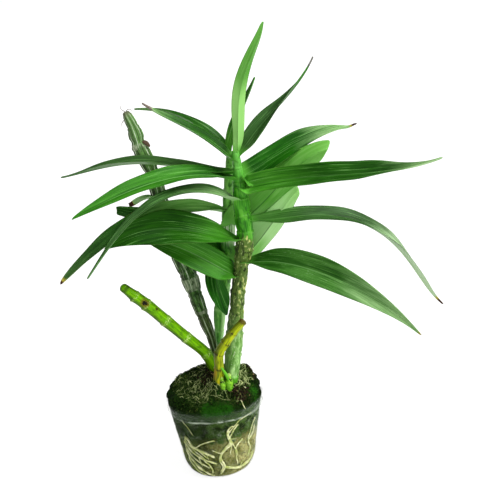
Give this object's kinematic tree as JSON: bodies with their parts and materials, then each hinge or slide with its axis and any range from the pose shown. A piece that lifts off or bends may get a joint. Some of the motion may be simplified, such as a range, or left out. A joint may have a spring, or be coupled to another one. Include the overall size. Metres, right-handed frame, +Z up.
{
  "type": "potted dendrobium orchid",
  "caption": "Leafy dendrobium orchid out of flower: jointed upright canes with strap leaves, rooted in moss in a small clear nursery pot.",
  "frame": {"origin": "centre of the pot's flat underside", "axes": "+Z up from the surface the pot stands on; the fuller face of the plant looks towards -Y, +X to that viewer's right"},
  "size_m": [0.2879, 0.1296, 0.3471],
  "materials": {
    "clear_plastic": "thin clear soft plastic, lightly crumpled and scuffed",
    "moss": "damp moss over bark and root fibre",
    "root": "pale cream-green velamen",
    "cane_bark": "papery weathered sheath over a green cane",
    "cane_green": "smooth green sheath",
    "cane_old": "dull ribbed old cane with dry papery sheath",
    "cane_lime": "smooth glossy lime-green",
    "cane_ochre": "smooth ochre-yellow with brown rings",
    "shoot": "glossy young green",
    "leaf": "leathery, satin-glossy green with fine parallel veins",
    "leaf_remnant": "dull green with a dry brown end"
  },
  "bodies": {
    "root": {"clear_pot": "clear_plastic", "growing_medium": "moss", "rhizome_and_roots": "root", "cane_main": "cane_bark", "cane_second": "cane_green", "cane_old": "cane_old", "cane_lime": "cane_lime", "cane_stump": "cane_ochre", "bud_left": "shoot", "bud_right": "shoot", "leaf_crown_front": "leaf", "leaf_crown_back": "leaf", "leaf_upper_left_back": "leaf", "leaf_upper_left_front": "leaf", "leaf_upper_right_erect": "leaf", "leaf_left_slender": "leaf", "leaf_upper_right_curled": "leaf", "leaf_left_broad_upper": "leaf", "leaf_right_long": "leaf", "leaf_left_tailed": "leaf", "leaf_left_brown_tip": "leaf", "leaf_right_arching": "leaf", "leaf_right_pale_upper": "leaf", "leaf_left_broad_middle": "leaf", "leaf_left_hanging": "leaf", "leaf_right_drooping": "leaf", "leaf_left_hidden": "leaf", "leaf_left_broad_lower": "leaf", "leaf_right_pale_lower": "leaf", "leaf_old_remnant": "leaf_remnant"}
  },
  "joints": []
}
